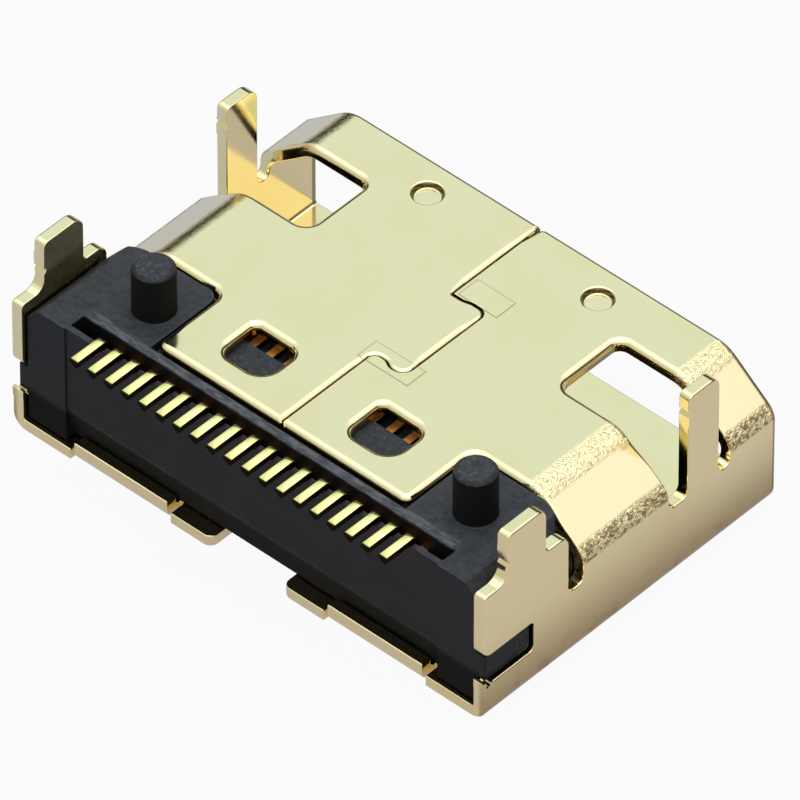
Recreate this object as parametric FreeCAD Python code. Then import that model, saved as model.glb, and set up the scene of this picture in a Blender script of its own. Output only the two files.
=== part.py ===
import FreeCAD, Part
import math
import os

# A mini video socket for a circuit board, with 19 contacts in one row, in millimetres.
# It is drawn as it lies on its wide face, board side up: legs, posts and solder tails are
# at the top (+Z), the row of contacts runs along X, and the mouth for the plug faces +Y.
# All lengths along Y are measured from the rear edge of the shell. The finished pieces
# are moved at the end, so that the origin is under the middle of the whole part.

# Shell: the section that one blank of sheet metal is folded to
sheet = 0.25              # thickness of the sheet
bend_inside = 0.18        # inner radius of the folds between side walls and slants
crown_bend_inside = 0.47  # of the two softer folds beside the board-side face
floor_bend_inside = 0.06  # of the two sharp folds beside the wide face
shell_width = 11.05       # over the two side walls
shell_height = 3.00       # over the wide face and the board-side face
shell_depth = 7.52        # rear edge to mouth
crown_width = 8.82        # board-side face, between the two slants
wall_height = 2.09        # side wall, up to the slant

# Shell: board-side face
tab_width = 5.86          # part of that face that reaches back between the platforms
tab_offset = 0.03         # it stands this much off the middle
tab_rear = 0.86           # rear edge of that part
wing_rear = 2.56          # rear edge of the slants and of the rest of the face
notch_round = 0.22        # inner corners between the two rear edges
tab_round = 0.20
window_width = 1.03       # two small windows over the contacts
window_length = 0.95
window_rear = 1.445
window_spacing = 2.95
window_offset = 0.03      # both stand this much off the middle
window_round_rear_left = 0.28
window_round_rear_right = 0.35
window_round_front_left = 0.12
window_round_front_right = 0.28
dimple_spacing = 3.98     # two pressed dimples that hold the plug
dimple_to_mouth = 0.70
dimple_width = 0.60
dimple_floor = 0.50       # width of a dimple's flat bottom
dimple_depth = 0.12
kerf = 0.03               # gap of the seam where the blank's two ends meet
seam_middle = 0.045       # the seam's straight ends, off the middle
seam_tongue = 0.78        # how far the locking tongue reaches across
seam_tongue_rear = 3.21
seam_tongue_front = 5.28
seam_wave_rear = 0.09     # its two ends are pressed slightly hollow
seam_wave_front = 0.05
seam_round = 0.25         # bends of the tongue's outline
seam_root_round = 0.15    # its inner corner at the rear
seam_tip_round = 0.20     # its outer corner at the front
seam_mouth_round = 0.13   # corner of the right-hand end at the mouth

# Shell: side walls, legs and rear panels
slot_floor = 0.83         # rear slot in the side wall, open to the rear
slot_top = 1.50
slot_length = 1.29
slot_round = 0.12
nib_height = 0.07         # burr at the rear end of the strip under that slot
nib_length = 0.07
panel_length = 2.17       # rear panel that stands on the side wall
relief_floor = 1.55       # bottom of the cut in front of the panel
panel_shoulder = 0.06     # the panel's shoulders lie this much under the board-side face
panel_round = 0.20        # its rear corners
panel_front_round = 0.25
leg_stand = 1.00          # all four legs end this far above the board-side face
rear_leg_rear = 0.59
rear_leg_length = 1.00
rear_leg_root = 0.25      # hollow corner at the root of the rear legs
leg_window_reach = 2.595  # the front windows reach this far in from the side
leg_window_rear = 4.75
leg_window_length = 1.58
leg_window_floor = 1.68
leg_window_round_rear = 0.28
leg_window_round_front = 0.20
front_leg_rear = 5.23
front_leg_length = 0.79
leg_round_front = 0.25    # corners of a leg's tip
leg_round_rear = 0.12
leg_root_round = 0.08
relief_round = 0.15       # corners at the bottom of the cuts beside panels and legs
barb_notch = 0.05         # small notch in the rear edge of a leg
barb_height = 0.12
rear_barb_drop = 0.60     # from the leg's tip down to the notch
front_barb_drop = 0.36

# Shell: wide face
lip_inner = 1.88          # two folded lips at the rear edge
lip_outer = 4.08
lip_height = 0.45
lip_bend = 0.28           # outer radius of the lip's fold
lip_relief = 0.08         # cut at each end of a lip
lip_relief_length = 0.35
gap_half = 0.83           # opening in the middle of the rear edge
gap_length = 1.20
gap_round = 0.18

# Insulator: one black moulding
housing_gap = 0.025       # clearance to the shell
housing_rear = 0.10
housing_front = 2.90      # front face of the block, the bottom of the mouth
platform_drop = 0.07      # platforms lie this much under the board-side face
platform_chamfer = 0.28
platform_round = 0.70     # front corners, where the shell's slants begin
platform_side_gap = 0.04  # beside the shell's rear tab
platform_inner_round = 0.25 # front corners beside that tab
rib_front = 0.775         # rib between the trench and the tab
trench_rear = 0.25        # open trench where the contacts turn down
trench_front = 0.58
trench_depth = 0.68
trench_end = 0.73         # past the outer contacts
lid_front = 2.16         # the roof over the contacts ends here
step_sink = 0.08          # the step in front of it, under the tops of the contacts
step_end = 0.20           # past the outer contacts
rear_step = 0.03          # middle of the rear face, set back from its ends
hollow_height = 1.05      # slanted hollow along the lower edge of the rear face
hollow_reach = 0.28
hollow_end = 0.75         # past the outer contacts
nub_stand = 0.20          # side nubs in the slots of the side walls
nub_gap = 0.05
tongue_thickness = 0.70   # tongue in the mouth
tongue_end = 0.50         # past the outer contacts
tongue_front = 5.40
tongue_round = 0.15
post_spacing = 7.50       # two locating posts
post_offset = 0.20        # both stand this much off the middle
post_rear = 1.52
post_diameter = 0.80
post_stand = 0.98         # above the board-side face
post_chamfer = 0.09

# Contacts: bent strips
contact_count = 19
contact_pitch = 0.40
contact_width = 0.18
contact_thickness = 0.14
contact_gap = 0.02        # clearance of a contact in its channel
contact_bend = 0.12       # radius of the bends, in the middle of the strip
tail_reach = 0.48         # tails stand out behind the shell
board_gap = 0.05          # board plane above the shell's board-side face
drop_middle = 0.30       # where a contact turns down, in the trench
run_drop = 0.50           # top of the level run under the board-side face
ramp_rear = 2.75          # the ramp from there down to the tongue
ramp_front = 3.15
contact_stand = 0.06      # above the tongue
contact_front = 5.15

# Worked out from the sizes above
half_width = shell_width / 2
inner_half = half_width - sheet
inner_top = shell_height - sheet
floor_bend_outside = floor_bend_inside + sheet
tab_left = tab_offset - tab_width / 2
tab_right = tab_offset + tab_width / 2
board_plane = shell_height + board_gap
leg_tip = shell_height + leg_stand
wall_overlap = 0.10       # new wall is laid this far over the wall that it joins
beyond = 1.0              # cutting tools reach this far past the piece
platform_top = shell_height - platform_drop
platform_front = wing_rear - housing_gap
platform_left = tab_left - platform_side_gap
platform_right = tab_right + platform_side_gap
roof = inner_top - housing_gap
housing_half = inner_half - housing_gap
housing_floor = sheet + housing_gap
row_half = contact_pitch * (contact_count - 1) / 2
tail_level = board_plane - contact_thickness / 2
run_level = shell_height - run_drop - contact_thickness / 2
tongue_top = shell_height / 2 + tongue_thickness / 2
tongue_level = tongue_top + contact_stand - contact_thickness / 2
rear_shift = -(shell_depth - tail_reach) / 2


def outline_face(points, radii):
    """Flat face with the given corners, each rounded by its own radius, or sharp at 0."""
    starts = []
    ends = []
    arcs = []
    for i, corner in enumerate(points):
        back = (points[i - 1] - corner).normalize()
        ahead = (points[(i + 1) % len(points)] - corner).normalize()
        half_angle = back.getAngle(ahead) / 2
        reach = radii[i] / math.tan(half_angle)
        starts.append(corner + back * reach)
        ends.append(corner + ahead * reach)
        inwards = (back + ahead).normalize()
        middle = corner + inwards * (radii[i] / math.sin(half_angle) - radii[i])
        arcs.append(Part.Arc(starts[i], middle, ends[i]) if radii[i] > 0 else None)
    edges = []
    for i, arc in enumerate(arcs):
        if ends[i - 1].distanceToPoint(starts[i]) > 1e-6:
            edges.append(Part.LineSegment(ends[i - 1], starts[i]).toShape())
        if arc:
            edges.append(arc.toShape())
    return Part.Face(Part.Wire(edges))


def radii_of(corners):
    """Third value of each corner, or 0 where it has only two."""
    return [corner[2] if len(corner) > 2 else 0.0 for corner in corners]


def along_x(corners, start, end):
    """Solid with a (y, z) outline from one x to another."""
    points = [FreeCAD.Vector(start, corner[0], corner[1]) for corner in corners]
    return outline_face(points, radii_of(corners)).extrude(FreeCAD.Vector(end - start, 0, 0))


def along_y(corners, start, end):
    """Solid with an (x, z) outline from one y to another."""
    points = [FreeCAD.Vector(corner[0], start, corner[1]) for corner in corners]
    return outline_face(points, radii_of(corners)).extrude(FreeCAD.Vector(0, end - start, 0))


def along_z(corners, start, end):
    """Solid with an (x, y) outline from one z to another."""
    points = [FreeCAD.Vector(corner[0], corner[1], start) for corner in corners]
    return outline_face(points, radii_of(corners)).extrude(FreeCAD.Vector(0, 0, end - start))


def block(low, high):
    """Plain box between two corners."""
    size = FreeCAD.Vector(*high) - FreeCAD.Vector(*low)
    return Part.makeBox(size.x, size.y, size.z, FreeCAD.Vector(*low))


def mirrored(shape):
    """Copy on the other side of the middle plane."""
    return shape.mirror(FreeCAD.Vector(0, 0, 0), FreeCAD.Vector(1, 0, 0))


def on_both_sides(shapes):
    """The given shapes and their mirror images."""
    return shapes + [mirrored(shape) for shape in shapes]


def band(path, half_thickness):
    """Outline of a strip that follows a path of (u, v, bend radius) points, flat at its ends."""
    left = []
    right = []
    for i, (u, v, radius) in enumerate(path):
        into = direction(path[max(i - 1, 0)], path[max(i, 1)])
        out = direction(path[min(i, len(path) - 2)], path[min(i + 1, len(path) - 1)])
        turn = into[0] * out[1] - into[1] * out[0]
        share = half_thickness / (1 + into[0] * out[0] + into[1] * out[1])
        du = -(into[1] + out[1]) * share
        dv = (into[0] + out[0]) * share
        widen = math.copysign(half_thickness, turn) if radius > 0 else 0.0
        left.append((u + du, v + dv, radius - widen))
        right.append((u - du, v - dv, radius + widen))
    return left + right[::-1]


def direction(start, end):
    """Unit vector from one point of a path to another."""
    length = math.hypot(end[0] - start[0], end[1] - start[1])
    return ((end[0] - start[0]) / length, (end[1] - start[1]) / length)


def shell_section(inset):
    """Section of the shell along Y, a given depth in from its outer face."""
    corners = [
        (-half_width, 0.0, floor_bend_inside),
        (half_width, 0.0, floor_bend_inside),
        (half_width, wall_height, bend_inside),
        (crown_width / 2, shell_height, crown_bend_inside),
        (-crown_width / 2, shell_height, crown_bend_inside),
        (-half_width, wall_height, bend_inside),
    ]
    moved = []
    for i, corner in enumerate(corners):
        into = direction(corners[i - 1], corner)
        out = direction(corner, corners[(i + 1) % len(corners)])
        share = inset / (1 + into[0] * out[0] + into[1] * out[1])
        x = corner[0] - (into[1] + out[1]) * share
        z = corner[1] + (into[0] + out[0]) * share
        moved.append((x, z, corner[2] + sheet - inset))
    return moved


def shell_tube():
    """The folded tube, with its board side cut back at the rear round the middle tab."""
    outer = along_y(shell_section(0), 0, shell_depth)
    inner = along_y(shell_section(sheet), -beyond, shell_depth + beyond)
    tube = outer.cut(inner)
    far = half_width + beyond
    rear_cut = along_z(
        [
            (-far, -beyond),
            (far, -beyond),
            (far, wing_rear),
            (tab_right, wing_rear, notch_round),
            (tab_right, tab_rear, tab_round),
            (tab_left, tab_rear, tab_round),
            (tab_left, wing_rear, notch_round),
            (-far, wing_rear),
        ],
        floor_bend_outside,
        shell_height + beyond,
    )
    return tube.cut(rear_cut)


def barb(edge, drop):
    """Corners of the small notch in a leg's rear edge, from its top down."""
    top = leg_tip - drop
    return [
        (edge, top),
        (edge + barb_notch, top),
        (edge + barb_notch, top - barb_height / 2),
        (edge, top - barb_height),
    ]


def rear_panel():
    """Strip of side wall at the rear, the panel on it and its leg."""
    strip_end = wing_rear + wall_overlap
    leg_front = rear_leg_rear + rear_leg_length
    shoulder = shell_height - panel_shoulder
    nib_foot = slot_floor - nib_height
    outline = [
        (0.0, floor_bend_outside),
        (strip_end, floor_bend_outside),
        (strip_end, relief_floor + 2 * wall_overlap),
        (wing_rear, relief_floor + 2 * wall_overlap),
        (wing_rear, relief_floor, relief_round),
        (panel_length, relief_floor, relief_round),
        (panel_length, shoulder, panel_front_round),
        (leg_front, shoulder, leg_root_round),
        (leg_front, leg_tip, leg_round_front),
        (rear_leg_rear, leg_tip, leg_round_rear),
    ]
    outline += barb(rear_leg_rear, rear_barb_drop)
    outline += [
        (rear_leg_rear, shoulder, rear_leg_root),
        (0.0, shoulder, panel_round / 2),
        (0.0, slot_top, panel_round),
        (slot_length, slot_top, slot_round),
        (slot_length, slot_floor, slot_round),
        (3 * nib_length, slot_floor),
        (2 * nib_length, nib_foot),
        (nib_length, nib_foot),
        (nib_length, slot_floor + nib_height),
        (0.0, slot_floor + nib_height),
    ]
    return along_x(outline, inner_half, half_width)


def front_leg():
    """Side wall under a front window, with the leg that stands up from it."""
    rear = leg_window_rear
    front = leg_window_rear + leg_window_length
    leg_front = front_leg_rear + front_leg_length
    foot = leg_window_floor - 2 * wall_overlap
    rim = leg_window_floor + relief_round
    outline = [
        (rear - wall_overlap, foot),
        (front + wall_overlap, foot),
        (front + wall_overlap, rim),
        (front, rim),
        (front, leg_window_floor, relief_round),
        (leg_front, leg_window_floor, relief_round),
        (leg_front, leg_tip, leg_round_front),
        (front_leg_rear, leg_tip, leg_round_rear),
    ]
    outline += barb(front_leg_rear, front_barb_drop)
    outline += [
        (front_leg_rear, leg_window_floor, relief_round),
        (rear, leg_window_floor, relief_round),
        (rear, rim),
        (rear - wall_overlap, rim),
    ]
    return along_x(outline, inner_half, half_width)


def leg_window():
    """Opening from which a front leg is folded up, through crown, slant and side wall."""
    inner = half_width - leg_window_reach
    outer = half_width + beyond
    front = leg_window_rear + leg_window_length
    outline = [
        (inner, leg_window_rear, leg_window_round_rear),
        (outer, leg_window_rear),
        (outer, front),
        (inner, front, leg_window_round_front),
    ]
    return along_z(outline, leg_window_floor - wall_overlap, shell_height + beyond)


def small_window(middle):
    """Window over the contacts, each of its corners rounded by its own radius."""
    left = middle - window_width / 2
    right = middle + window_width / 2
    front = window_rear + window_length
    outline = [
        (left, window_rear, window_round_rear_left),
        (right, window_rear, window_round_rear_right),
        (right, front, window_round_front_right),
        (left, front, window_round_front_left),
    ]
    return along_z(outline, inner_top - beyond / 2, shell_height + beyond)


def seam():
    """Narrow gap of the seam, which steps round a locking tongue."""
    side = seam_middle + seam_tongue
    rear_end = seam_tongue_rear - seam_wave_rear
    front_end = seam_tongue_front - seam_wave_front
    path = [
        (seam_middle, tab_rear - beyond, 0.0),
        (seam_middle, seam_tongue_rear, seam_root_round),
        (seam_middle + 0.36 * seam_tongue, seam_tongue_rear, seam_round),
        (seam_middle + 0.56 * seam_tongue, rear_end, seam_round),
        (side, rear_end, seam_round),
        (side, seam_tongue_front, seam_tip_round),
        (seam_middle + 0.55 * seam_tongue, seam_tongue_front, seam_round),
        (seam_middle + 0.30 * seam_tongue, front_end, seam_round),
        (seam_middle, front_end, kerf),
        (seam_middle, shell_depth + beyond, 0.0),
    ]
    return along_z(band(path, kerf / 2), inner_top - wall_overlap, shell_height + beyond)


def seam_corner():
    """What the rounded corner beside the seam leaves open at the mouth."""
    edge = seam_middle + kerf / 2
    reach = 1.5 * seam_mouth_round
    outline = [
        (seam_middle, shell_depth - reach),
        (edge, shell_depth - reach),
        (edge, shell_depth, seam_mouth_round),
        (edge + reach, shell_depth),
        (edge + reach, shell_depth + beyond),
        (seam_middle, shell_depth + beyond),
    ]
    return along_z(outline, inner_top - wall_overlap, shell_height + beyond)


def dimple(face_level, widen):
    """Flat-bottomed cone pressed into the sheet from the given level."""
    place = FreeCAD.Vector(dimple_spacing / 2, shell_depth - dimple_to_mouth, face_level)
    top = dimple_width / 2 + widen
    bottom = dimple_floor / 2 + widen
    return Part.makeCone(top, bottom, dimple_depth, place, FreeCAD.Vector(0, 0, -1))


def dimple_bulge():
    """Inner side of a dimple, where the metal that it pushes down stands out."""
    bulge = dimple(inner_top, sheet / 2)
    root = Part.makeCylinder(
        dimple_width / 2 + sheet / 2,
        sheet / 2,
        FreeCAD.Vector(dimple_spacing / 2, shell_depth - dimple_to_mouth, inner_top),
    )
    return bulge.fuse(root)


def wide_face_cuts():
    """Opening in the middle of the wide face's rear edge, and room for the two lips."""
    opening = along_z(
        [
            (-gap_half - gap_round, -beyond),
            (gap_half + gap_round, -beyond),
            (gap_half + gap_round, 0.0),
            (gap_half, 0.0, gap_round),
            (gap_half, gap_length, gap_round),
            (-gap_half, gap_length, gap_round),
            (-gap_half, 0.0, gap_round),
            (-gap_half - gap_round, 0.0),
        ],
        -beyond,
        floor_bend_outside,
    )
    lip_room = block(
        (lip_inner - lip_relief, -beyond, -beyond),
        (lip_outer + lip_relief, lip_relief_length, floor_bend_outside),
    )
    return [opening] + on_both_sides([lip_room])


def lip():
    """Rear edge of the wide face, folded up."""
    end = lip_relief_length + wall_overlap
    outline = [
        (end, 0.0),
        (end, sheet),
        (sheet, sheet, lip_bend / 4),
        (sheet, lip_height),
        (0.0, lip_height),
        (0.0, 0.0, lip_bend),
    ]
    return along_x(outline, lip_inner, lip_outer)


def shell():
    """The whole shell, folded from one blank."""
    metal = shell_tube()
    cuts = on_both_sides([leg_window()])
    metal = metal.cut(cuts)
    metal = metal.fuse(on_both_sides([rear_panel(), front_leg()]))
    metal = metal.cut(wide_face_cuts())
    metal = metal.fuse(on_both_sides([lip()]))
    metal = metal.fuse(on_both_sides([dimple_bulge()]))
    openings = [
        seam(),
        seam_corner(),
        small_window(window_offset - window_spacing / 2),
        small_window(window_offset + window_spacing / 2),
    ]
    metal = metal.cut(openings + on_both_sides([dimple(shell_height, 0.0)]))
    return metal.removeSplitter()


def contact_path(rear, front, bend):
    """Middle line of a contact: tail, turn down, level run, ramp and stretch on the tongue."""
    return [
        (rear, tail_level, 0.0),
        (drop_middle, tail_level, bend),
        (drop_middle, run_level, bend),
        (ramp_rear, run_level, bend),
        (ramp_front, tongue_level, bend),
        (front, tongue_level, 0.0),
    ]


def contact(middle):
    """One contact, a bent strip of even width."""
    path = contact_path(-tail_reach, contact_front, contact_bend)
    outline = band(path, contact_thickness / 2)
    return along_x(outline, middle - contact_width / 2, middle + contact_width / 2)


def channel(middle):
    """Room for one contact in the insulator, open at the rear, with plain corners."""
    path = contact_path(-beyond, contact_front + contact_gap, 0.0)
    outline = band(path, contact_thickness / 2 + contact_gap)
    half = contact_width / 2 + contact_gap
    return along_x(outline, middle - half, middle + half)


def contact_middles():
    """Place of each contact along the row."""
    return [i * contact_pitch - row_half for i in range(contact_count)]


def housing_block():
    """Rear block between the side panels, and its front part inside the tube."""
    slope = platform_chamfer
    floor_round = floor_bend_inside - housing_gap
    rear_section = [
        (-housing_half, housing_floor, floor_round),
        (housing_half, housing_floor, floor_round),
        (housing_half, platform_top - slope),
        (housing_half - slope, platform_top),
        (slope - housing_half, platform_top),
        (-housing_half, platform_top - slope),
    ]
    plan = [
        (-housing_half, housing_rear),
        (housing_half, housing_rear),
        (housing_half, platform_front, platform_round),
        (-housing_half, platform_front, platform_round),
    ]
    rear = along_y(rear_section, housing_rear, platform_front)
    rear = rear.common(along_z(plan, 0, leg_tip))
    front_section = shell_section(sheet + housing_gap)
    front = along_y(front_section, platform_front - platform_round, housing_front)
    return rear.fuse(front)


def housing_cuts():
    """Everything that is open in the block's board side and rear face."""
    top = shell_height + beyond
    trench_half = row_half + trench_end
    step_half = row_half + step_end
    step_level = shell_height - run_drop - step_sink
    hollow_half = row_half + hollow_end
    turn = platform_inner_round
    under_tab = along_z(
        [
            (platform_left, rib_front),
            (platform_right, rib_front),
            (platform_right, platform_front, turn),
            (platform_right + 1.5 * turn, platform_front),
            (platform_right + 1.5 * turn, platform_front + turn),
            (platform_left - 1.5 * turn, platform_front + turn),
            (platform_left - 1.5 * turn, platform_front),
            (platform_left, platform_front, turn),
        ],
        roof,
        top,
    )
    trench = block(
        (-trench_half, trench_rear, platform_top - trench_depth),
        (trench_half, trench_front, top),
    )
    step = block((platform_left, lid_front, step_level), (platform_right, platform_front, top))
    front_step = block(
        (-step_half, platform_front, step_level),
        (step_half, housing_front + beyond, top),
    )
    face = block(
        (-hollow_half, -beyond, -beyond),
        (hollow_half, housing_rear + rear_step, top),
    )
    hollow = along_x(
        [
            (-beyond, hollow_height),
            (housing_rear + rear_step, hollow_height),
            (housing_rear + rear_step + hollow_reach, 0.0),
            (-beyond, 0.0),
        ],
        -hollow_half,
        hollow_half,
    )
    return [under_tab, trench, step, front_step, face, hollow]


def tongue():
    """Tongue that carries the contacts in the middle of the mouth."""
    half = row_half + tongue_end
    low = tongue_top - tongue_thickness
    section = [
        (housing_front - wall_overlap, low),
        (tongue_front, low, tongue_round),
        (tongue_front, tongue_top, tongue_round),
        (housing_front - wall_overlap, tongue_top),
    ]
    return along_x(section, -half, half)


def nub():
    """Nub that fills the slot in the side wall."""
    outline = [
        (housing_rear, slot_floor + nub_gap),
        (slot_length - nub_gap, slot_floor + nub_gap, slot_round),
        (slot_length - nub_gap, slot_top - nub_gap, slot_round),
        (housing_rear, slot_top - nub_gap),
    ]
    return along_x(outline, housing_half - wall_overlap, housing_half + nub_stand)


def post(side):
    """Locating post, round, with its tip chamfered."""
    base = platform_top - wall_overlap
    rim = shell_height + post_stand - post_chamfer
    radius = post_diameter / 2
    x = post_offset + side * post_spacing / 2
    shaft = Part.makeCylinder(radius, rim - base, FreeCAD.Vector(x, post_rear, base))
    tip = Part.makeCone(radius, radius - post_chamfer, post_chamfer, FreeCAD.Vector(x, post_rear, rim))
    return shaft.fuse(tip)


def housing():
    """The whole insulator, one moulding."""
    plastic = housing_block().cut(housing_cuts())
    plastic = plastic.fuse([tongue()] + on_both_sides([nub()]))
    plastic = plastic.cut([channel(middle) for middle in contact_middles()])
    plastic = plastic.fuse([post(-1), post(1)])
    return plastic.removeSplitter()


def write(name, shape):
    """Move a piece to the part's frame and write it to its own file."""
    placed = shape.copy()
    placed.translate(FreeCAD.Vector(0, rear_shift, 0))
    placed.exportStep("parts/" + name + ".step")
    print(name, placed.ShapeType, len(placed.Solids), placed.isValid(), round(placed.Volume, 4))


os.makedirs("parts", exist_ok=True)
write("shell", shell())
write("housing", housing())
for number, middle in enumerate(contact_middles(), start=1):
    write("contact_%02d" % number, contact(middle))
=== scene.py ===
import math
import bmesh
import bpy
from mathutils import Euler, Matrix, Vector


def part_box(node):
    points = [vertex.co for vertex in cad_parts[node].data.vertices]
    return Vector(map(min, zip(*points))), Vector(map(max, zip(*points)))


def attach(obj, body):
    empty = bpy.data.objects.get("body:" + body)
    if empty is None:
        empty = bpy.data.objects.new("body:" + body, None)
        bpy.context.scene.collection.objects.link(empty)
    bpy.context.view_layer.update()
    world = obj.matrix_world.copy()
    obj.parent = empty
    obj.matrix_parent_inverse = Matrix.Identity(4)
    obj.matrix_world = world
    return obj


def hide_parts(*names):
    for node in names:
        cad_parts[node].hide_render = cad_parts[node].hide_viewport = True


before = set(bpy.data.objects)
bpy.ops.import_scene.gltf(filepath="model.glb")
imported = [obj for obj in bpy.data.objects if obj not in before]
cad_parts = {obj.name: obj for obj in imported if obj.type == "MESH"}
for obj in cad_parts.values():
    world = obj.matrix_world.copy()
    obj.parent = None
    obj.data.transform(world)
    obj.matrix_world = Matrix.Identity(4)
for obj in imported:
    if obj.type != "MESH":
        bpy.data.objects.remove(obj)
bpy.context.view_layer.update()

MM = 0.001

# Insulator: one moulding of black, glass-filled plastic with two locating posts. It is
# pushed into the shell from the rear. Its moulded edges are slightly round, and its top
# is scuffed by the tool that pressed the contacts in, under a painted grey sheen.
insulator_black = (0.0045, 0.0048, 0.0056, 1)
insulator_grey = (0.039, 0.044, 0.050, 1)
shade_black = (0.0015, 0.0015, 0.0013, 1)
# Painted reflection of the gold tails, with their shade, on the comb between them.
painted_reflection_brown = (0.019, 0.011, 0.012, 1)
dust_grey = (0.17, 0.18, 0.19, 1)
moulded_edge = 0.030 * MM
fine_edge = 0.010 * MM

# Zones of its edges, in mm: across from the middle, ahead of the shell's rear, up from the table.
shell_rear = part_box("shell")[0][1] / MM
no_low = -1.0
no_high = 99.0
comb_zone = ((no_low, 4.36), (no_low, 0.285), (2.20, no_high))
rear_step_zone = ((no_low, 4.40), (no_low, 0.145), (no_low, no_high))
groove_zone = ((no_low, 3.80), (2.10, no_high), (no_low, 2.76))
outer_groove_zone = ((no_low, 4.60), (2.10, no_high), (2.00, 2.76))
lid_corner_zone = ((2.85, 3.35), (2.25, 2.75), (2.00, no_high))
window_sill_zone = ((no_low, no_high), (no_low, 0.80), (2.70, 2.76))

# Marks of its finish. Each pair is where a mark begins and where it is full, in mm along the
# direction named, or as the part of the surface's own direction that faces that way.
open_top_sheen_mark = {"facing_up": [(0.35, 0.90)], "up": [(2.20, 2.40)]}
post_top_mark = {"up": [(3.84, 3.94)]}
# The post sides and the hollow low on the rear face are darkened as painted shade.
post_side_shade_mark = {"up": [(2.92, 3.00)], "facing_up": [(0.50, 0.30)]}
window_floor_mark = {"up": [(2.76, 2.70)], "ahead": [(0.90, 0.95)]}
rib_mark = {"ahead": [(0.56, 0.60), (0.80, 0.77)], "up": [(2.86, 2.90)], "across": [(4.35, 4.15)]}
comb_reflection_mark = {"ahead": [(0.27, 0.20)], "up": [(2.35, 2.80)], "across": [(3.90, 3.70)]}
rear_hollow_shade_mark = {"up": [(1.05, 0.85)], "ahead": [(1.00, 0.90)]}

# How edges are rounded and faces shaded, on the insulator and on the shell.
loose_within = 0.0001 * MM
flat_within = math.radians(0.3)
sharp_from = math.radians(28)
same_level = math.cos(math.radians(0.4))
smooth_within = math.cos(math.radians(40))
nearly_as_large = 0.5
shortest_step = 0.05 * MM
width_samples = 8
uneven_from = 0.02
level_within = 0.001 * MM


def merged_copy(name, node):
    """New mesh of a given piece, with its loose triangles joined to whole faces."""
    joined = bmesh.new()
    joined.from_mesh(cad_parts[node].data)
    bmesh.ops.remove_doubles(joined, verts=joined.verts, dist=loose_within)
    bmesh.ops.dissolve_limit(joined, angle_limit=flat_within, verts=joined.verts, edges=joined.edges)
    mesh = bpy.data.meshes.new(name)
    joined.to_mesh(mesh)
    joined.free()
    piece = bpy.data.objects.new(name, mesh)
    bpy.context.scene.collection.objects.link(piece)
    return piece


def is_sharp(edge):
    """True at the edge between two faces that meet at a clear angle."""
    return len(edge.link_faces) == 2 and edge.calc_face_angle() > sharp_from


def divide_tapered_edges(shape, width_at):
    """Cuts a long edge into short ones where the width of its rounding changes along it."""
    for edge in [edge for edge in shape.edges if is_sharp(edge)]:
        start, end = edge.verts[0].co, edge.verts[1].co
        places = [start.lerp(end, number / width_samples) for number in range(width_samples + 1)]
        widths = [width_at(place, edge) for place in places]
        pieces = int(edge.calc_length() / shortest_step)
        if max(widths) - min(widths) > uneven_from * max(widths):
            corner = edge.verts[0]
            for left in range(pieces, 1, -1):
                corner = bmesh.utils.edge_split(edge, corner, 1 / left)[1]


def plain_mesh(thing):
    """Mesh of an object as its modifiers leave it."""
    bpy.context.view_layer.update()
    made = thing.evaluated_get(bpy.context.evaluated_depsgraph_get())
    return bpy.data.meshes.new_from_object(made)


def round_edges(piece, width_at, widest, segments):
    """Rounds each sharp edge by the width that its place asks for, and smooths the faces."""
    shape = bmesh.new()
    shape.from_mesh(piece.data)
    divide_tapered_edges(shape, width_at)
    weight = shape.edges.layers.float.new("bevel_weight_edge")
    for edge in shape.edges:
        if is_sharp(edge):
            middle = (edge.verts[0].co + edge.verts[1].co) / 2
            edge[weight] = width_at(middle, edge) / widest
    for face in shape.faces:
        face.smooth = True
    shape.to_mesh(piece.data)
    shape.free()
    rounding = piece.modifiers.new("rounded edges", "BEVEL")
    rounding.limit_method = "WEIGHT"
    rounding.width = widest
    rounding.segments = segments
    rounding.use_clamp_overlap = False
    rounding.loop_slide = False
    rounded = plain_mesh(piece)
    piece.modifiers.remove(rounding)
    piece.data = rounded
    keep_flats_flat(rounded)


def flat_areas(shape):
    """Area of the whole flat stretch that each face belongs to, by the face's number."""
    areas = {}
    for start in shape.faces:
        if start.index in areas:
            continue
        stretch = {start}
        edge_of_stretch = [start]
        while edge_of_stretch:
            face = edge_of_stretch.pop()
            for edge in face.edges:
                for other in edge.link_faces:
                    if other not in stretch and face.normal.dot(other.normal) > same_level:
                        stretch.add(other)
                        edge_of_stretch.append(other)
        total = sum(face.calc_area() for face in stretch)
        for face in stretch:
            areas[face.index] = total
    return areas


def keep_flats_flat(mesh):
    """Shades each corner of a face like the largest flat stretches that it runs into."""
    shape = bmesh.new()
    shape.from_mesh(mesh)
    shape.faces.ensure_lookup_table()
    areas = flat_areas(shape)
    normals = []
    for face in shape.faces:
        for corner in face.loops:
            around = corner.vert.link_faces
            near = [other for other in around if other.normal.dot(face.normal) > smooth_within]
            largest = max((areas[other.index] for other in near), default=0.0)
            shade = Vector((0, 0, 0))
            for other in near:
                if areas[other.index] > nearly_as_large * largest:
                    shade += other.normal
            normals.append(shade.normalized() if near else face.normal.copy())
    shape.free()
    mesh.normals_split_custom_set(normals)


def in_zone(place, *zones):
    """True if a place lies between all three pairs of limits of one of the zones."""
    return any(all(low < part < high for part, (low, high) in zip(place, zone)) for zone in zones)


def insulator_edge(middle, edge):
    """Width of an edge's rounding. The comb under the tails and the small steps are nearly sharp."""
    place = (abs(middle.x) / MM, middle.y / MM - shell_rear, middle.z / MM)
    level = abs(edge.verts[0].co.z - edge.verts[1].co.z) < level_within
    if in_zone(place, lid_corner_zone) or level and in_zone(place, window_sill_zone):
        return 0.0
    if in_zone(place, comb_zone, rear_step_zone, groove_zone, outer_groove_zone):
        return fine_edge
    return moulded_edge


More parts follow.
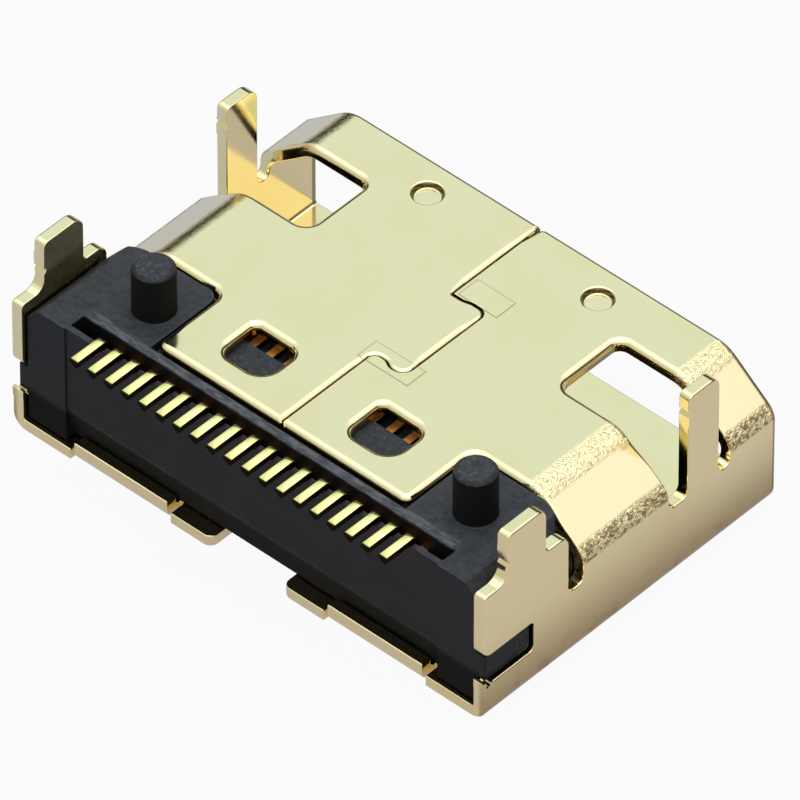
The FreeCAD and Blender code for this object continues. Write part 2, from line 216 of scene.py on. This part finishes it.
def new_finish(name):
    """Material with an empty node tree."""
    finish = bpy.data.materials.new(name)
    finish.use_nodes = True
    finish.node_tree.nodes.clear()
    return finish, finish.node_tree


def step(tree, kind, settings=None, **values):
    """One shader node. A value is a number, a colour or another node's output."""
    made = tree.nodes.new("ShaderNode" + kind)
    for key, value in (settings or {}).items():
        setattr(made, key, value)
    for key, value in values.items():
        socket = made.inputs[int(key[1:])] if key[1:].isdigit() else made.inputs[key.replace("_", " ")]
        if isinstance(value, bpy.types.NodeSocket):
            tree.links.new(value, socket)
        else:
            socket.default_value = value
    return made


def calc(tree, operation, first, second=0.0, clamp=False):
    """Result of one sum on two numbers."""
    settings = {"operation": operation, "use_clamp": clamp}
    return step(tree, "Math", settings, i0=first, i1=second).outputs[0]


def between(tree, value, low, high):
    """0 below low, 1 above high, smooth in between; low may be the larger one."""
    settings = {"interpolation_type": "SMOOTHSTEP"}
    if low < high:
        return step(tree, "MapRange", settings, Value=value, From_Min=low, From_Max=high).outputs[0]
    rising = step(tree, "MapRange", settings, Value=value, From_Min=high, From_Max=low).outputs[0]
    return calc(tree, "SUBTRACT", 1.0, rising)


def spread(tree, pattern, low, high, start=0.0, end=1.0):
    """Number from low to high as the pattern goes from its start to its end."""
    limits = {"From_Min": start, "From_Max": end, "To_Min": low, "To_Max": high}
    return step(tree, "MapRange", Value=pattern, **limits).outputs[0]


def raised(tree, value, share, amount):
    """The value, raised by an amount as far as the share says."""
    return calc(tree, "ADD", value, calc(tree, "MULTIPLY", share, amount))


def mixed(tree, share, first, second):
    """Colour between two colours."""
    return step(tree, "Mix", {"data_type": "RGBA"}, i0=share, i6=first, i7=second).outputs[2]


def tinted(tree, colour, share, strength, tint):
    """The colour, turned towards a tint by the share times the strength."""
    return mixed(tree, calc(tree, "MULTIPLY", share, strength), colour, tint)


def grain(tree, place, scale, detail=4.0, roughness=0.6, distortion=0.0):
    """Cloudy pattern, as many patches a millimetre as its scale says."""
    return step(
        tree,
        "TexNoise",
        Vector=place,
        Scale=scale,
        Detail=detail,
        Roughness=roughness,
        Distortion=distortion,
    ).outputs["Fac"]


def place_in_mm(tree, stretch=(1.0, 1.0, 1.0)):
    """Place on the piece in millimetres, squeezed along an axis where a pattern is long."""
    coords = step(tree, "TexCoord").outputs["Object"]
    return step(tree, "Mapping", Vector=coords, Scale=[1000.0 * s for s in stretch]).outputs[0]


def axes(tree, vector):
    """The three numbers of a vector."""
    return step(tree, "SeparateXYZ", i0=vector).outputs


def directions(tree):
    """Where a point of the surface lies along each direction that a mark can name."""
    x, y, z = axes(tree, place_in_mm(tree))
    facing = axes(tree, step(tree, "NewGeometry").outputs["Normal"])
    return {
        "right": x,
        "across": calc(tree, "ABSOLUTE", x),
        "ahead": calc(tree, "SUBTRACT", y, shell_rear),
        "up": z,
        "facing_aside": calc(tree, "ABSOLUTE", facing[0]),
        "facing_ahead": facing[1],
        "facing_up": facing[2],
        "level": calc(tree, "ABSOLUTE", facing[2]),
    }


def marked(tree, along, mark):
    """1 inside a mark and 0 outside it."""
    share = 1.0
    for direction, fades in mark.items():
        for begins, full in fades:
            share = calc(tree, "MULTIPLY", share, between(tree, along[direction], begins, full))
    return share


def insulator_finish():
    """Dull black plastic: fine moulding grain, a scuffed top under painted sheen, dust, painted shade
    under the shell, on the post sides and in the rear hollow, and a painted brown reflection of the gold
    among the tails.
    """
    finish, tree = new_finish("moulded black")
    place = place_in_mm(tree)
    along = directions(tree)
    cloud = grain(tree, place, scale=1.4, detail=5.0)
    mottle = grain(tree, place, scale=7.0, detail=5.0, roughness=0.7)
    long_place = place_in_mm(tree, stretch=(3.0, 14.0, 14.0))
    scratch = grain(tree, long_place, scale=1.0, detail=6.0, roughness=0.7)
    speck = between(tree, grain(tree, place, scale=16.0, detail=3.0), low=0.55, high=0.68)
    scuff_and_sheen = spread(tree, mottle, low=0.35, high=1.25, start=0.3, end=0.7)
    scuffed_and_sheen_top = calc(tree, "MULTIPLY", marked(tree, along, open_top_sheen_mark), scuff_and_sheen)
    dusty_post = calc(tree, "MULTIPLY", marked(tree, along, post_top_mark), speck)
    window_floor = marked(tree, along, window_floor_mark)
    dusty_floor = calc(tree, "MULTIPLY", window_floor, speck)
    deep_scratch = between(tree, scratch, low=0.38, high=0.66)
    worn_rib = calc(tree, "MULTIPLY", marked(tree, along, rib_mark), deep_scratch)
    dull_and_shaded = calc(
        tree,
        "MAXIMUM",
        marked(tree, along, post_side_shade_mark),
        marked(tree, along, rear_hollow_shade_mark),
    )
    colour = tinted(tree, insulator_black, mottle, strength=0.10, tint=insulator_grey)
    # Painted sheen: the open top faces turn grey, in patches that also stand for scuffs.
    colour = mixed(tree, scuffed_and_sheen_top, colour, insulator_grey)
    colour = tinted(tree, colour, dusty_post, strength=0.35, tint=dust_grey)
    # Painted shade: under the shell's windows the floor is turned back towards plain black.
    colour = tinted(tree, colour, window_floor, strength=0.50, tint=insulator_black)
    colour = tinted(tree, colour, dusty_floor, strength=0.30, tint=dust_grey)
    colour = tinted(tree, colour, worn_rib, strength=0.60, tint=dust_grey)
    # Painted reflection and painted shade: the comb between the tails is tinted dark brown.
    colour = tinted(tree, colour, marked(tree, along, comb_reflection_mark), strength=0.85, tint=painted_reflection_brown)
    # Painted shade: the posts' sides and the rear hollow turn darker black; they are also rougher.
    colour = mixed(tree, dull_and_shaded, colour, shade_black)
    rough = spread(tree, cloud, low=0.42, high=0.60)
    rough = raised(tree, rough, worn_rib, amount=0.12)
    rough = raised(tree, rough, dull_and_shaded, amount=0.35)
    height = raised(tree, scratch, grain(tree, place, scale=22.0, detail=2.0), amount=0.6)
    bump = step(tree, "Bump", Strength=0.55, Distance=0.006 * MM, Height=height)
    shader = step(
        tree,
        "BsdfPrincipled",
        Base_Color=colour,
        Roughness=rough,
        Specular_IOR_Level=0.22,
        Normal=bump.outputs[0],
    )
    step(tree, "OutputMaterial", Surface=shader.outputs[0])
    return finish


insulator = merged_copy("moulded_insulator", "housing")
round_edges(insulator, insulator_edge, moulded_edge, segments=3)
insulator.data.materials.append(insulator_finish())
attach(insulator, "root")
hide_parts("housing")

# Contacts: 19 strips of thin spring bronze, stamped side by side, plated with gold and
# bent, then pushed through the insulator together. Their ends were cut from the strip
# after plating, so the cut shows bare, dark metal.
contact_names = ["contact_%02d" % number for number in range(1, 20)]
strip_low, strip_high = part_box("contact_01")
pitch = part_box("contact_02")[0][0] - strip_low[0]
strip_width = strip_high[0] - strip_low[0]
strip_thickness = 0.14 * MM
strip_bend = 0.12 * MM
strip_corner = 0.018 * MM
bend_steps = 8
corner_steps = 2
tail_level = strip_high[2] - strip_thickness / 2
tongue_level = strip_low[2] + strip_thickness / 2
run_level = 2.43 * MM
drop_place = (shell_rear + 0.30) * MM
ramp_place = ((shell_rear + 2.75) * MM, (shell_rear + 3.15) * MM)
contact_gold = (1.0, 0.90, 0.34, 1)
shaded_contact_orange = (1.0, 0.52, 0.14, 1)
bare_metal_and_shade = (0.012, 0.009, 0.004, 1)
tail_end = strip_low[1] / MM - shell_rear
# Painted shade: the strips' sides and the front of their tail bends are made as dark as the bare cut
# ends.
side_shade_mark = {"facing_aside": [(0.35, 0.70)]}
cut_end_mark = {"ahead": [(tail_end + 0.06, tail_end + 0.02)], "facing_ahead": [(-0.20, -0.60)]}
tail_bend_shade_mark = {"facing_ahead": [(0.30, 0.50)], "up": [(2.60, 2.70)]}
under_shell_shade_mark = {"up": [(2.72, 2.66)]}
under_shell_roughness = 0.65

middle_line = bpy.data.curves.new("contact_middle_line", "CURVE")
middle_line.dimensions = "3D"
line_points = [
    (strip_low[1], tail_level),
    (drop_place, tail_level),
    (drop_place, run_level),
    (ramp_place[0], run_level),
    (ramp_place[1], tongue_level),
    (strip_high[1], tongue_level),
]
line = middle_line.splines.new("POLY")
line.points.add(len(line_points) - 1)
for point, (y, z) in zip(line.points, line_points):
    point.co = ((strip_low[0] + strip_high[0]) / 2, y, z, 1)
contact_line = bpy.data.objects.new("contact_middle_line", middle_line)
bpy.context.scene.collection.objects.link(contact_line)


def contact_row_tree():
    """Bends one strip along the middle line and repeats it along the row."""
    tree = bpy.data.node_groups.new("contact row", "GeometryNodeTree")
    sizes = [
        ("Contacts", "NodeSocketInt"),
        ("Pitch", "NodeSocketFloat"),
        ("Strip width", "NodeSocketFloat"),
        ("Strip thickness", "NodeSocketFloat"),
        ("Bend radius", "NodeSocketFloat"),
        ("Bend steps", "NodeSocketInt"),
        ("Edge radius", "NodeSocketFloat"),
        ("Edge steps", "NodeSocketInt"),
        ("Finish", "NodeSocketMaterial"),
    ]
    tree.interface.new_socket("Geometry", in_out="INPUT", socket_type="NodeSocketGeometry")
    for name, kind in sizes:
        tree.interface.new_socket(name, in_out="INPUT", socket_type=kind)
    tree.interface.new_socket("Geometry", in_out="OUTPUT", socket_type="NodeSocketGeometry")
    nodes = tree.nodes
    given = nodes.new("NodeGroupInput").outputs
    bent = nodes.new("GeometryNodeFilletCurve")
    bent.mode = "POLY"
    upright = nodes.new("GeometryNodeSetCurveNormal")
    upright.mode = "FREE"
    upright.inputs["Normal"].default_value = (1, 0, 0)
    section = nodes.new("GeometryNodeCurvePrimitiveQuadrilateral")
    eased = nodes.new("GeometryNodeFilletCurve")
    eased.mode = "POLY"
    strip = nodes.new("GeometryNodeCurveToMesh")
    strip.inputs["Fill Caps"].default_value = True
    offset = nodes.new("ShaderNodeCombineXYZ")
    places = nodes.new("GeometryNodeMeshLine")
    row = nodes.new("GeometryNodeInstanceOnPoints")
    real = nodes.new("GeometryNodeRealizeInstances")
    plated = nodes.new("GeometryNodeSetMaterial")
    done = nodes.new("NodeGroupOutput")
    links = [
        (given["Geometry"], bent.inputs["Curve"]),
        (given["Bend radius"], bent.inputs["Radius"]),
        (given["Bend steps"], bent.inputs["Count"]),
        (bent.outputs[0], upright.inputs["Curve"]),
        (upright.outputs[0], strip.inputs["Curve"]),
        (given["Strip width"], section.inputs["Width"]),
        (given["Strip thickness"], section.inputs["Height"]),
        (section.outputs[0], eased.inputs["Curve"]),
        (given["Edge radius"], eased.inputs["Radius"]),
        (given["Edge steps"], eased.inputs["Count"]),
        (eased.outputs[0], strip.inputs["Profile Curve"]),
        (given["Contacts"], places.inputs["Count"]),
        (given["Pitch"], offset.inputs["X"]),
        (offset.outputs[0], places.inputs["Offset"]),
        (places.outputs[0], row.inputs["Points"]),
        (strip.outputs[0], row.inputs["Instance"]),
        (row.outputs[0], real.inputs[0]),
        (real.outputs[0], plated.inputs["Geometry"]),
        (given["Finish"], plated.inputs["Material"]),
        (plated.outputs[0], done.inputs[0]),
    ]
    for output, socket in links:
        tree.links.new(output, socket)
    return tree


def contact_finish():
    """Bright gold plate with fine drawing marks, bare dark metal at the cut ends, painted shade as dark
    on the strips' sides and the front of the tail bends, and a deeper orange painted as shade under the
    shell.
    """
    finish, tree = new_finish("plated contact")
    along = directions(tree)
    drawing_marks = grain(tree, place_in_mm(tree, stretch=(30.0, 2.0, 8.0)), scale=1.0, detail=3.0)
    cloud = grain(tree, place_in_mm(tree), scale=6.0)
    under_shell_shade = marked(tree, along, under_shell_shade_mark)
    bare_and_shaded = marked(tree, along, side_shade_mark)
    for mark in (cut_end_mark, tail_bend_shade_mark):
        bare_and_shaded = calc(tree, "MAXIMUM", bare_and_shaded, marked(tree, along, mark))
    # Painted shade: under the shell the gold is painted a deeper orange.
    colour = mixed(tree, under_shell_shade, contact_gold, shaded_contact_orange)
    # Painted shade on the sides and tail bends, bare metal at the cut ends.
    colour = mixed(tree, bare_and_shaded, colour, bare_metal_and_shade)
    rough = spread(tree, cloud, low=0.14, high=0.30)
    rough = raised(tree, rough, bare_and_shaded, amount=0.30)
    rough = calc(tree, "MAXIMUM", rough, calc(tree, "MULTIPLY", under_shell_shade, under_shell_roughness))
    bump = step(tree, "Bump", Strength=0.35, Distance=0.002 * MM, Height=drawing_marks)
    shader = step(
        tree,
        "BsdfPrincipled",
        Base_Color=colour,
        Metallic=1.0,
        Roughness=rough,
        Normal=bump.outputs[0],
    )
    step(tree, "OutputMaterial", Surface=shader.outputs[0])
    return finish


row_tree = contact_row_tree()
row_sizes = {
    "Contacts": len(contact_names),
    "Pitch": pitch,
    "Strip width": strip_width,
    "Strip thickness": strip_thickness,
    "Bend radius": strip_bend,
    "Bend steps": bend_steps,
    "Edge radius": strip_corner,
    "Edge steps": corner_steps,
    "Finish": contact_finish(),
}
row_maker = contact_line.modifiers.new("contact row", "NODES")
row_maker.node_group = row_tree
for socket in row_tree.interface.items_tree:
    if socket.in_out == "INPUT" and socket.name in row_sizes:
        row_maker[socket.identifier] = row_sizes[socket.name]
row_mesh = plain_mesh(contact_line)
contact_line.modifiers.remove(row_maker)
bpy.data.objects.remove(contact_line)
for face in row_mesh.polygons:
    face.use_smooth = True
contact_row = bpy.data.objects.new("contact_row", row_mesh)
bpy.context.scene.collection.objects.link(contact_row)
row_flats = contact_row.modifiers.new("flat faces stay flat", "WEIGHTED_NORMAL")
row_flats.weight = 100
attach(contact_row, "root")
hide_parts(*contact_names)

# Shell: one blank of thin sheet, stamped, folded to a tube and plated with bright gold.
# The punch rolls the sheet's edges over where it enters, and the plating is wrinkled
# where the long folds stretch it, with painted shade in the side fold's wrinkles.
shell_gold = (0.95, 0.82, 0.47, 1)
shell_gold_deep = (0.93, 0.79, 0.42, 1)
# Painted shade: these browns and olives darken shaded parts of the shell; only the stains' brown is the
# plating's own.
low_wall_shade_brown = (0.40, 0.29, 0.14, 1)
stain_brown = (0.24, 0.15, 0.07, 1)
painted_shade_brown = (0.22, 0.14, 0.05, 1)
painted_shade_olive = (0.10, 0.09, 0.045, 1)
outline_shade_olive = (0.42, 0.36, 0.18, 1)
rolled_edge = 0.130 * MM
tongue_rear_edge = 0.080 * MM
tongue_front_edge = 0.060 * MM
mouth_edge = 0.090 * MM
cut_edge = 0.045 * MM
lip_edge = 0.030 * MM
inner_edge = 0.020 * MM
burr_edge = 0.010 * MM

# Its section, in mm: its side and front, the tube's board side, where the slants start, the
# way they face, how deep below the outside a point still counts as being on it, and the
# middle of the upright sheet at the sides.
shell_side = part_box("shell")[1][0] / MM
shell_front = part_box("shell")[1][1] / MM - shell_rear
tube_top = 3.0
slant_start = 4.41
slant_facing = (0.632, 0.775)
outer_skin = 0.12
side_sheet_middle = 5.40

# Zones of its edges, as on the insulator.
rear_panel_zone = ((5.20, no_high), (no_low, 2.54), (1.50, no_high))
front_leg_zone = ((5.20, no_high), (4.77, 6.31), (1.50, no_high))
rear_barb_zone = ((5.20, no_high), (0.58, 0.70), (3.25, 3.70))
front_barb_zone = ((5.20, no_high), (5.22, 5.30), (3.25, 3.70))
nib_zone = ((5.20, no_high), (no_low, 0.25), (0.70, 0.95))
lip_zone = ((1.79, 4.17), (no_low, 0.45), (no_low, 0.60))
dimple_zone = ((1.60, 2.40), (6.40, 7.20), (no_low, no_high))
rear_rim_zone = ((no_low, 5.20), (no_low, 2.70), (2.20, no_high))
front_rim_zone = ((no_low, 5.20), (4.60, 6.45), (2.20, no_high))
mouth_from = shell_front - 0.01
seam_mouth_zone = ((no_low, 0.10), (mouth_from, no_high), (no_low, no_high))
seam_zone = ((-0.20, 0.92), (0.88, shell_front - 0.002), (2.60, no_high))
seam_rear_edge = 1.0
seam_outer_half = 2.88

# The part of a direction or a length from which it counts as facing or running that way.
mostly = 0.9
rather_flat = 0.3
hardly_flat = 0.1

# Where the rolled rim changes its width, in mm ahead of the shell's rear, and on the slants
# in mm across: it changes from the first number of a pair to the second.
rim_ends = (4.66, 5.05)
roll_ends = (6.60, 7.30)
burr_ends = (7.00, 7.36)
tongue_rear_bend = ((2.75, 3.04), (3.70, 3.40))
tongue_front_bend = ((4.60, 5.00), (5.60, 5.28))
tongue_middle = 4.3
tongue_ends = 6.0

# Marks of its finish, and the two coined fields: left, right, rear and front side.
top_fold_mark = {"across": [(4.13, 4.28), (4.68, 4.54)], "up": [(2.60, 2.70)]}
side_fold_mark = {"across": [(5.30, 5.40)], "up": [(2.34, 2.22), (1.84, 1.96)], "level": [(0.05, 0.20)]}
right_half_mark = {"right": [(-1.0, 1.0)]}
low_wall_shade_mark = {"across": [(5.36, 5.48)], "up": [(2.0, -0.3)]}
low_side_mark = {"across": [(5.36, 5.48)], "up": [(0.75, 0.15)]}
slit_shade_mark = {
    "level": [(0.30, 0.15)],
    "up": [(2.60, 2.70)],
    "right": [(0.95, 0.90), (-0.25, -0.20)],
    "ahead": [(0.90, 0.95)],
}
cut_wall_shade_mark = {"level": [(0.35, 0.15)], "up": [(2.70, 2.74), (2.92, 2.84)], "across": [(4.20, 4.00)]}
dimple_ring_shade_mark = {
    "level": [(0.75, 0.50)],
    "up": [(2.86, 2.89), (2.99, 2.97)],
    "ahead": [(6.35, 6.45), (7.25, 7.20)],
}
mouth_rim_shade_mark = {"level": [(0.99, 0.92)], "ahead": [(7.40, 7.43)]}
mouth_rim_shade_strength = 0.80
board_side_mark = {"up": [(2.98, 2.99)]}
coined_fields = [(-0.12, 1.03, 2.98, 3.46), (0.13, 1.02, 5.28, 5.78)]
coined_line = 0.022
coined_line_core = 0.3 * coined_line


def fade(value, low, high):
    """0 up to low, 1 from high on, even in between; low may be the larger one."""
    return min(max((value - low) / (high - low), 0.0), 1.0)


def on_outer_face(place):
    """True on the outer side of the sheet."""
    across, _, up = place
    if in_zone(place, rear_panel_zone, front_leg_zone):
        return across > side_sheet_middle
    to_slant = (slant_start - across) * slant_facing[0] + (tube_top - up) * slant_facing[1]
    return min(shell_side - across, up, tube_top - up, to_slant) < outer_skin


def seam_rim(ahead, wall):
    """The left-hand end of the blank is rolled over along the seam, the right-hand end is sharp."""
    if abs(wall.x) > abs(wall.y) or ahead > tongue_ends:
        left_end = wall.x > 0
    else:
        left_end = (wall.y < 0) == (ahead < tongue_middle)
    if not left_end:
        return burr_edge + fade(ahead, *burr_ends) * (mouth_edge - burr_edge)
    at_rear_bend = min(fade(ahead, *ends) for ends in tongue_rear_bend)
    at_front_bend = min(fade(ahead, *ends) for ends in tongue_front_bend)
    narrowed = at_rear_bend * (rolled_edge - tongue_rear_edge)
    narrowed += at_front_bend * (rolled_edge - tongue_front_edge)
    return rolled_edge - narrowed - fade(ahead, *roll_ends) * (rolled_edge - mouth_edge)


def shell_edge(middle, edge):
    """Edges where the punch entered the board-side face are rolled over; others are sharper."""
    right = middle.x / MM
    ahead = middle.y / MM - shell_rear
    up = middle.z / MM
    place = (abs(right), ahead, up)
    if in_zone(place, rear_barb_zone, front_barb_zone, nib_zone):
        return burr_edge
    if in_zone(place, lip_zone):
        return lip_edge
    wall = min((face.normal for face in edge.link_faces), key=lambda normal: abs(normal.z))
    at_rear_edge = abs(wall.y) > mostly and ahead < seam_rear_edge
    if in_zone((right, ahead, up), seam_zone) and not at_rear_edge:
        return seam_rim(ahead, wall) if up > seam_outer_half else 0.0
    upright = abs(edge.verts[0].co.z - edge.verts[1].co.z) > mostly * edge.calc_length()
    if upright and in_zone(place, seam_mouth_zone) or not on_outer_face(place):
        return inner_edge
    if ahead > mouth_from:
        return mouth_edge
    if in_zone(place, dimple_zone):
        return inner_edge
    flattest = max(abs(face.normal.z) for face in edge.link_faces)
    cut_through = flattest > rather_flat and abs(wall.z) < hardly_flat
    if cut_through and in_zone(place, rear_rim_zone, front_rim_zone):
        return rolled_edge + fade(place[0], *rim_ends) * (cut_edge - rolled_edge)
    return cut_edge


def coined_marks(tree, along):
    """The two shallow fields struck at the seam's ends: the height round them, and their outlines, which
    are painted as lines of shade.
    """
    on_board_side = marked(tree, along, board_side_mark)
    height, shaded_outlines = 1.0, 0.0
    for left, right, rear, front in coined_fields:
        from_middle = calc(tree, "ABSOLUTE", calc(tree, "SUBTRACT", along["right"], (left + right) / 2))
        from_centre = calc(tree, "ABSOLUTE", calc(tree, "SUBTRACT", along["ahead"], (rear + front) / 2))
        past = calc(
            tree,
            "MAXIMUM",
            calc(tree, "SUBTRACT", from_middle, (right - left) / 2),
            calc(tree, "SUBTRACT", from_centre, (front - rear) / 2),
        )
        height = calc(tree, "MINIMUM", height, between(tree, past, -coined_line, coined_line))
        outline = between(tree, calc(tree, "ABSOLUTE", past), coined_line, coined_line_core)
        shaded_outlines = calc(tree, "MAXIMUM", shaded_outlines, calc(tree, "MULTIPLY", outline, on_board_side))
    return height, shaded_outlines


def shell_finish():
    """Gold plate: nearly a mirror on the flats, wrinkled along the two long folds. Painted shade darkens
    the low side walls, the side fold's wrinkles, the window and slit walls, the dimples' rims, the
    mouth's rim and the coined fields' outlines.
    """
    finish, tree = new_finish("gold plated sheet")
    place = place_in_mm(tree)
    along = directions(tree)
    cloud = grain(tree, place, scale=0.55, detail=3.0)
    wrinkle = grain(tree, place_in_mm(tree, stretch=(15.0, 9.0, 15.0)), scale=1.0, distortion=1.2)
    pits = grain(tree, place, scale=9.0, roughness=0.7)
    top_fold = calc(
        tree,
        "MULTIPLY",
        marked(tree, along, top_fold_mark),
        spread(tree, marked(tree, along, right_half_mark), low=0.15, high=0.60),
    )
    side_fold = marked(tree, along, side_fold_mark)
    folds = calc(tree, "MAXIMUM", top_fold, side_fold)
    wrinkle_shade = calc(tree, "MULTIPLY", between(tree, wrinkle, low=0.53, high=0.43), side_fold)
    patches = between(tree, grain(tree, place, scale=2.2), low=0.48, high=0.68)
    stain = calc(tree, "MULTIPLY", marked(tree, along, low_side_mark), patches)
    mouth_rim_shade = calc(tree, "MULTIPLY", marked(tree, along, mouth_rim_shade_mark), mouth_rim_shade_strength)
    painted_dark_rims = calc(tree, "MAXIMUM", marked(tree, along, dimple_ring_shade_mark), mouth_rim_shade)
    cut_wall_shade = marked(tree, along, cut_wall_shade_mark)
    height, shaded_outlines = coined_marks(tree, along)
    deep_gold = between(tree, cloud, low=0.35, high=0.70)
    colour = mixed(tree, deep_gold, shell_gold, shell_gold_deep)
    # Painted shade: the troughs of the side fold's wrinkles are darkened.
    colour = tinted(tree, colour, wrinkle_shade, strength=0.85, tint=painted_shade_brown)
    # Painted shade: the side walls turn brown towards the bottom, where they mirror the shadowed card.
    colour = mixed(tree, marked(tree, along, low_wall_shade_mark), colour, low_wall_shade_brown)
    colour = tinted(tree, colour, stain, strength=0.40, tint=stain_brown)
    # Painted shade: the walls of the seam's slit are darkened to olive.
    colour = mixed(tree, marked(tree, along, slit_shade_mark), colour, painted_shade_olive)
    # Painted shade: the upright walls of the windows are darkened brown.
    colour = tinted(tree, colour, cut_wall_shade, strength=0.80, tint=painted_shade_brown)
    # Painted shade: the dimples' sloping walls and the tilted rim along the mouth are darkened.
    colour = tinted(tree, colour, painted_dark_rims, strength=0.85, tint=painted_shade_olive)
    # Painted shade: the outlines of the two coined fields are drawn as olive lines.
    colour = tinted(tree, colour, shaded_outlines, strength=0.75, tint=outline_shade_olive)
    rough = spread(tree, pits, low=0.07, high=0.17)
    rough = raised(tree, rough, stain, amount=0.20)
    waves = step(tree, "Bump", Strength=folds, Distance=0.050 * MM, Height=wrinkle)
    coined = step(tree, "Bump", Strength=0.5, Distance=0.006 * MM, Height=height, Normal=waves.outputs[0])
    bump = step(tree, "Bump", Strength=0.12, Distance=0.002 * MM, Height=pits, Normal=coined.outputs[0])
    shader = step(
        tree,
        "BsdfPrincipled",
        Base_Color=colour,
        Metallic=1.0,
        Roughness=rough,
        Normal=bump.outputs[0],
    )
    step(tree, "OutputMaterial", Surface=shader.outputs[0])
    return finish


shell = merged_copy("folded_shell", "shell")
round_edges(shell, shell_edge, rolled_edge, segments=5)
shell.data.materials.append(shell_finish())
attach(shell, "root")
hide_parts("shell")

# Table: a large sheet of white card that the socket lies on. It looks white itself, and
# duller and tinted where the gold mirrors it, most of all to the left of the socket.
card_half = 600 * MM
card_grey = (0.34, 0.33, 0.32, 1)
card_white = (1, 1, 1, 1)
card_seen = 0.94
card_mirrored = 0.50
card_in_metal = (0.76, 0.74, 0.84, 1)
card_in_left_slant = (0.64, 0.73, 0.98, 1)
left_of_socket = (-5.5, -7.0)
card_corners = [(-1, -1), (1, -1), (1, 1), (-1, 1)]
card_mesh = bpy.data.meshes.new("white_card")
card_mesh.from_pydata([(x * card_half, y * card_half, 0) for x, y in card_corners], [], [(0, 1, 2, 3)])
card = bpy.data.objects.new("white_card", card_mesh)
bpy.context.scene.collection.objects.link(card)
card_finish, tree = new_finish("white card")
rays = step(tree, "LightPath").outputs
seen_in_metal = calc(tree, "ADD", rays["Is Glossy Ray"], rays["Is Transmission Ray"], clamp=True)
share = calc(
    tree,
    "MAXIMUM",
    calc(tree, "MULTIPLY", rays["Is Camera Ray"], card_seen),
    calc(tree, "MULTIPLY", seen_in_metal, card_mirrored),
)
fibre = grain(tree, place_in_mm(tree), scale=0.35)
fibred = tinted(tree, card_grey, fibre, strength=0.1, tint=card_white)
paper = step(tree, "BsdfDiffuse", Color=fibred)
on_left = between(tree, axes(tree, place_in_mm(tree))[0], *left_of_socket)
mirrored = mixed(tree, on_left, card_in_metal, card_in_left_slant)
bright = mixed(tree, rays["Is Camera Ray"], mirrored, card_white)
white = step(tree, "Emission", Color=bright, Strength=1.0)
laid = step(tree, "MixShader", i0=share, i1=paper.outputs[0], i2=white.outputs[0])
step(tree, "OutputMaterial", Surface=laid.outputs[0])
card_mesh.materials.append(card_finish)

# Light tent: white cloth above, and a room below it that is light on the side of the
# solder tails and dark on the side of the mouth. The gold mirrors all three, so its flat
# faces are pale, and its folds and far edges are dark.
room_light = (0.62, 0.60, 0.54, 1)
room_dark = (0.075, 0.069, 0.046, 1)
room_darkens = (-0.10, 0.30)
tent_cool = (0.77, 0.92, 1.02, 1)
tent_warm = (1.10, 1.12, 1.24, 1)
tent_warms = (-0.35, 0.40)
tent_top = (1.55, 1.55, 1.55, 1)
cloth_starts = math.sin(math.radians(24))
cloth_full = math.sin(math.radians(33))
roof_starts = math.sin(math.radians(47))
roof_full = math.sin(math.radians(56))
room = bpy.data.worlds.new("light_tent")
bpy.context.scene.world = room
room.use_nodes = True
tree = room.node_tree
tree.nodes.clear()
right, ahead, above = axes(tree, step(tree, "TexCoord").outputs["Generated"])
cloth = mixed(tree, between(tree, right, *tent_warms), tent_cool, tent_warm)
cloth = mixed(tree, between(tree, above, roof_starts, roof_full), cloth, tent_top)
room_seen = mixed(tree, between(tree, ahead, *room_darkens), room_light, room_dark)
sight = mixed(tree, between(tree, above, cloth_starts, cloth_full), room_seen, cloth)
glow = step(tree, "Background", Color=sight, Strength=1.0)
step(tree, "OutputWorld", Surface=glow.outputs[0])

# Lamp: one wide soft lamp, hung almost straight above the socket and turned to it.
lamp_size = 0.25
lamp_power = 0.25
lamp_place = Vector((0.03, 0.04, 0.38))
lamp_data = bpy.data.lights.new("soft_lamp", "AREA")
lamp_data.size = lamp_size
lamp_data.energy = lamp_power
lamp = bpy.data.objects.new("soft_lamp", lamp_data)
lamp.location = lamp_place
lamp.rotation_euler = (-lamp_place).to_track_quat("-Z", "Y").to_euler()
bpy.context.scene.collection.objects.link(lamp)

# Camera: it looks down on the rear of the socket from its right-hand side, from far away
# with a long lens, so parallel edges stay nearly parallel.
camera_turn = math.radians(42.39)
camera_height = math.radians(43.53)
camera_distance = 328.7 * MM
camera_aim = Vector((0.113, 0.283, 1.5)) * MM
camera_data = bpy.data.cameras.new("camera")
camera_data.sensor_width = 36
camera_data.lens = 855.3
camera_data.clip_start = 0.02
camera_data.clip_end = 5
camera = bpy.data.objects.new("camera", camera_data)
camera_back = Vector((
    math.sin(camera_turn) * math.cos(camera_height),
    -math.cos(camera_turn) * math.cos(camera_height),
    math.sin(camera_height),
))
camera.location = camera_aim + camera_back * camera_distance
camera.rotation_euler = Euler((math.pi / 2 - camera_height, 0, camera_turn))
bpy.context.scene.collection.objects.link(camera)
bpy.context.scene.camera = camera
bpy.context.scene.view_settings.view_transform = "Standard"
